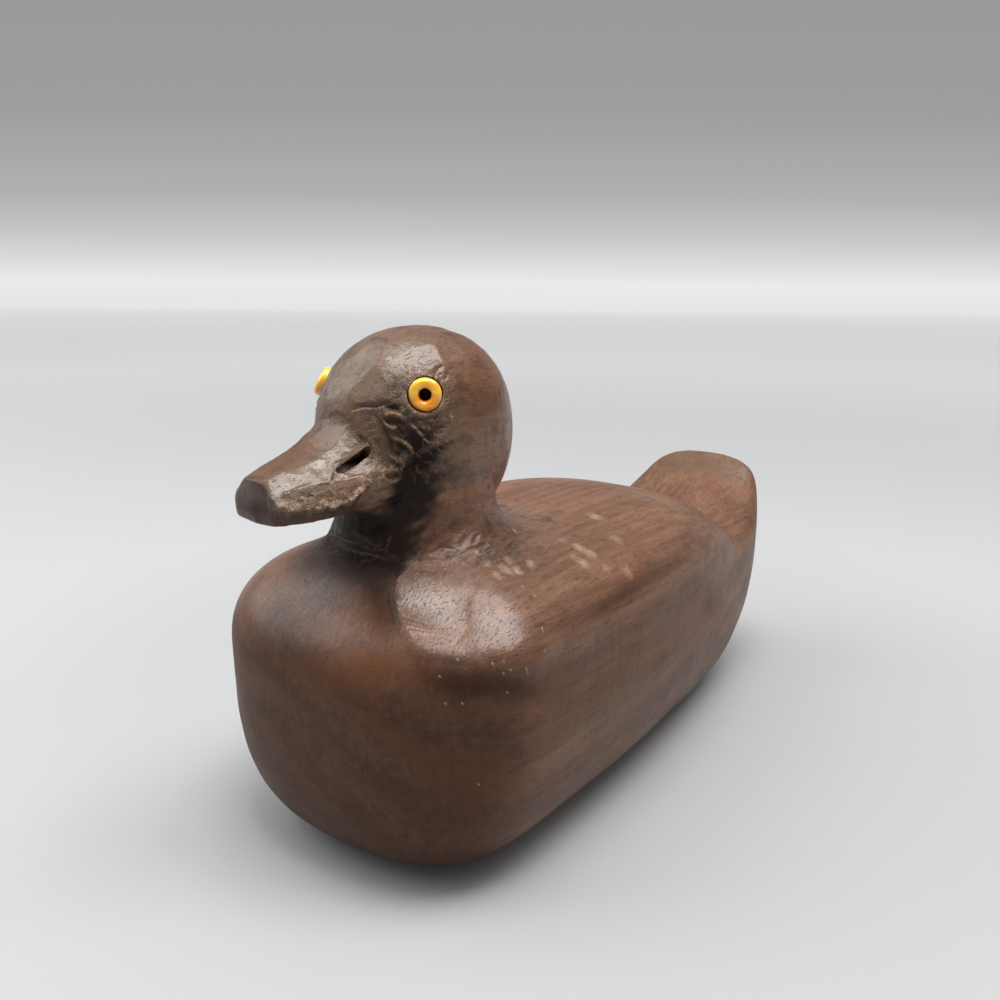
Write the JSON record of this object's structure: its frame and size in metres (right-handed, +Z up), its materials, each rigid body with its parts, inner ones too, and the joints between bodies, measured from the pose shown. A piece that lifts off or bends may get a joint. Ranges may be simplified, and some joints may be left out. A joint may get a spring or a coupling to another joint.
{
  "type": "wooden duck carving",
  "caption": "Small resting duck carved from one block of dark waxed wood, head turned slightly, with ring beads set in as eyes and a flat base to stand on.",
  "frame": {"origin": "On the ground, under the middle of the carving's length and width.", "axes": "+Z up, +Y from the breast towards the tail, +X towards the duck's left side. The duck looks along -Y."},
  "size_m": [0.06, 0.1446, 0.0845],
  "materials": {
    "carved_wood": "satin",
    "eye_bead": "gloss"
  },
  "bodies": {
    "root": {"duck_carving": "carved_wood", "left_eye_bead": "eye_bead", "right_eye_bead": "eye_bead"}
  },
  "joints": []
}
